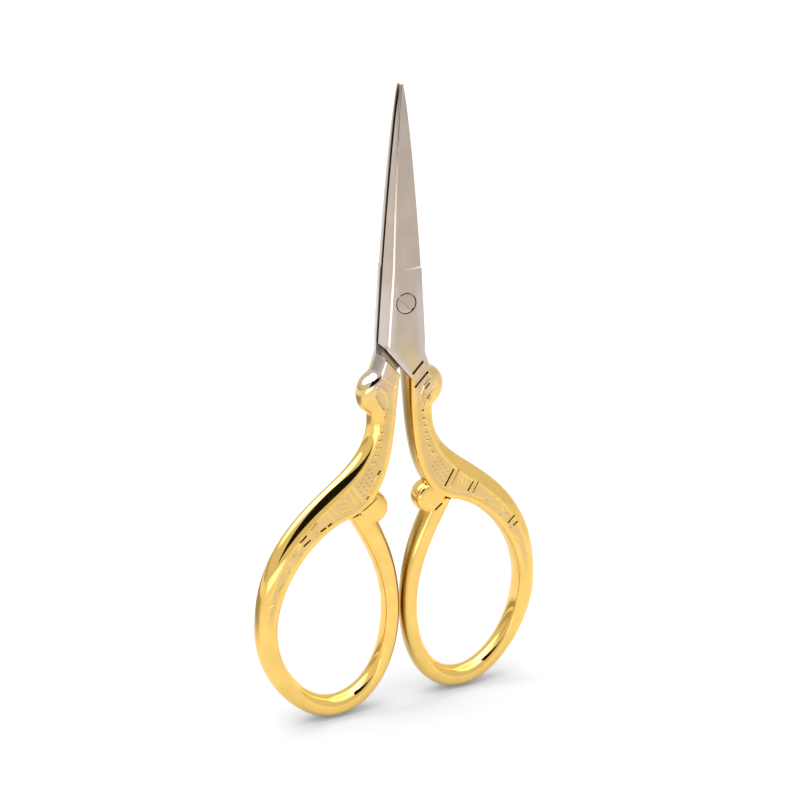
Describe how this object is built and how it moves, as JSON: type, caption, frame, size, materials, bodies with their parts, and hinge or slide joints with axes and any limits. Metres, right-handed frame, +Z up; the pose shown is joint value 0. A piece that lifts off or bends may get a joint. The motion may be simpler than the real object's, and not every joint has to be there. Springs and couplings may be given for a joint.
{
  "type": "embroidery scissors",
  "caption": "Small pointed scissors with slender nickel-coloured blades, gilt shanks and finger bows, and a slotted pivot screw, for snipping thread.",
  "frame": {"origin": "on the ground under the middle of the closed scissors, level with the bottom of the finger bows", "axes": "+Z up from the bows to the tips, +X across the bows towards the front half's bow, +Y through the thickness from the front face to the back"},
  "size_m": [0.045, 0.0044, 0.092],
  "materials": {
    "front_plating": "polished",
    "rear_plating": "polished",
    "screw_plating": "polished"
  },
  "bodies": {
    "rear": {"rear_half": "rear_plating", "pivot_screw": "screw_plating"},
    "front": {"front_half": "front_plating"}
  },
  "joints": [
    {"name": "pivot", "type": "hinge", "parent": "rear", "child": "front", "pos_m": [0, 0, 0.0628], "axis": [0, -1, 0], "range_deg": [0, 70]}
  ]
}
